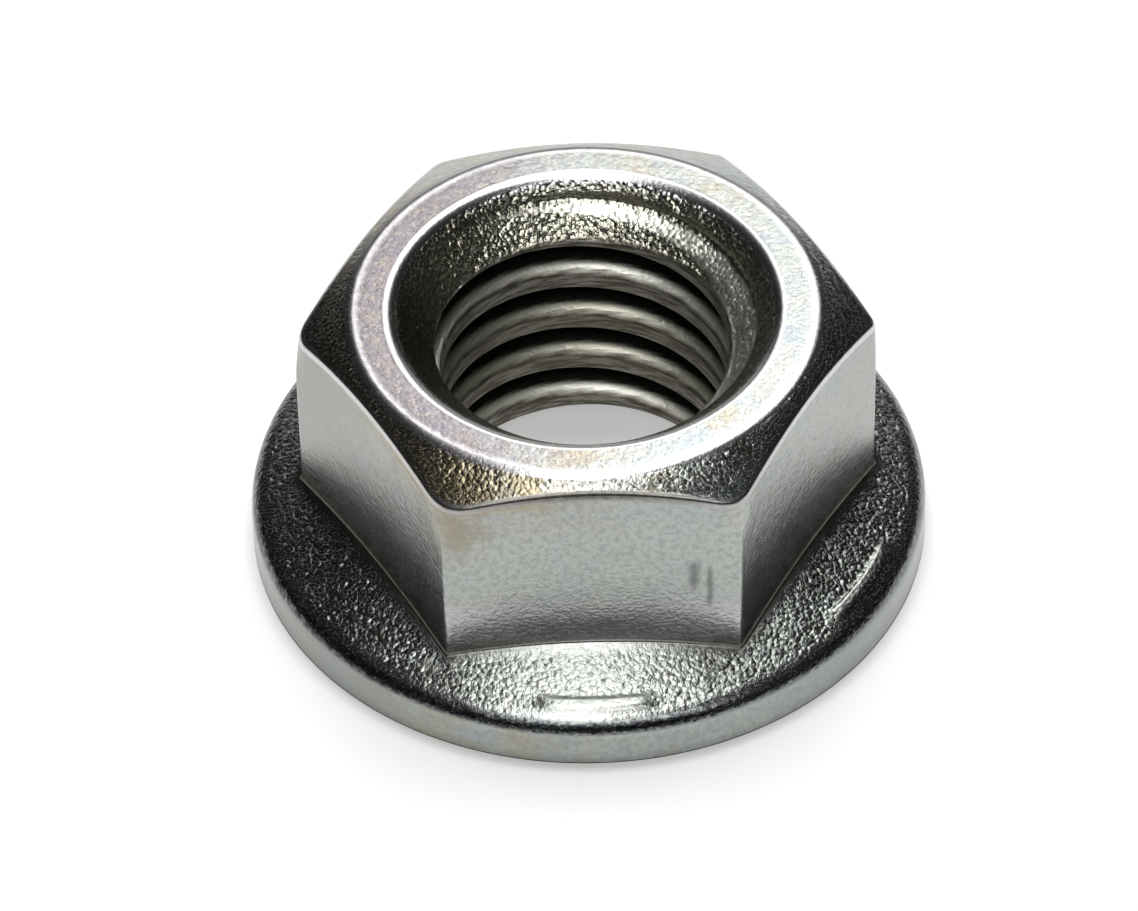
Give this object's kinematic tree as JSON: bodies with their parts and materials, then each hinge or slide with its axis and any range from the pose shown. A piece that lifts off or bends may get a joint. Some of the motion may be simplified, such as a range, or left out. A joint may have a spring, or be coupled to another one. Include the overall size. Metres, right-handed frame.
{
  "type": "serrated flange nut",
  "caption": "Hexagon nut with a conical flange, countersunk threaded hole and ratchet serrations on the bearing side.",
  "frame": {"origin": "on the thread axis, in the plane of the serrated bearing face", "axes": "+Z along the thread axis towards the flat top ring; one flat of the hexagon faces -Y"},
  "size_m": [0.019, 0.019, 0.0083],
  "materials": {
    "zinc_plated_steel": "bright zinc plating over forged steel"
  },
  "bodies": {
    "root": {"flange_nut": "zinc_plated_steel"}
  },
  "joints": []
}
